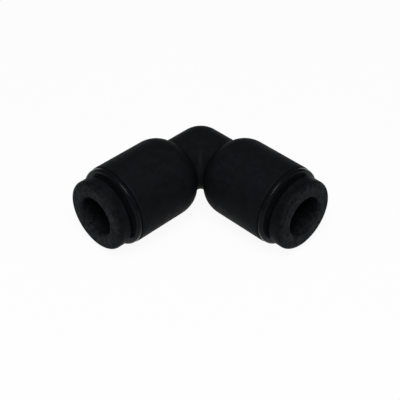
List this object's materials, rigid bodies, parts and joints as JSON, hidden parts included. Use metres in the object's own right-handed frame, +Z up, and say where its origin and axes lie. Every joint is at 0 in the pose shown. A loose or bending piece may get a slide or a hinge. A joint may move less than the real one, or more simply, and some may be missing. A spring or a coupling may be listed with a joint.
{
  "type": "push-in elbow tube fitting",
  "caption": "Right-angle push-in connector for plastic tube: a moulded elbow body with a releasable gripping socket at each end.",
  "frame": {"origin": "Under the middle of the part's outline, on the surface that it lies on.", "axes": "+X runs out of one tube port, +Y out of the other, +Z is up with the elbow lying flat on its two sockets."},
  "size_m": [0.0278, 0.0278, 0.0125],
  "materials": {
    "body_plastic": "satin black moulded plastic",
    "sleeve_plastic": "black acetal with a faint grain",
    "guide_plastic": "black plastic with a light gloss",
    "spacer_plastic": "dark grey moulded plastic",
    "seal_rubber": "black nitrile rubber",
    "spring_steel": "stamped stainless spring steel"
  },
  "bodies": {
    "body": {"body": "body_plastic", "seal_x": "seal_rubber", "seal_y": "seal_rubber", "spacer_ring_x": "spacer_plastic", "spacer_ring_y": "spacer_plastic", "grab_ring_x": "spring_steel", "grab_ring_y": "spring_steel", "guide_ring_x": "guide_plastic", "guide_ring_y": "guide_plastic"},
    "sleeve_x": {"release_sleeve_x": "sleeve_plastic"},
    "sleeve_y": {"release_sleeve_y": "sleeve_plastic"}
  },
  "joints": [
    {"name": "release_x", "type": "slide", "parent": "body", "child": "sleeve_x", "axis": [-1, 0, 0], "range_m": [0, 0.00075], "stiffness_N_per_m": 1500},
    {"name": "release_y", "type": "slide", "parent": "body", "child": "sleeve_y", "axis": [0, -1, 0], "range_m": [0, 0.00075], "stiffness_N_per_m": 1500}
  ]
}
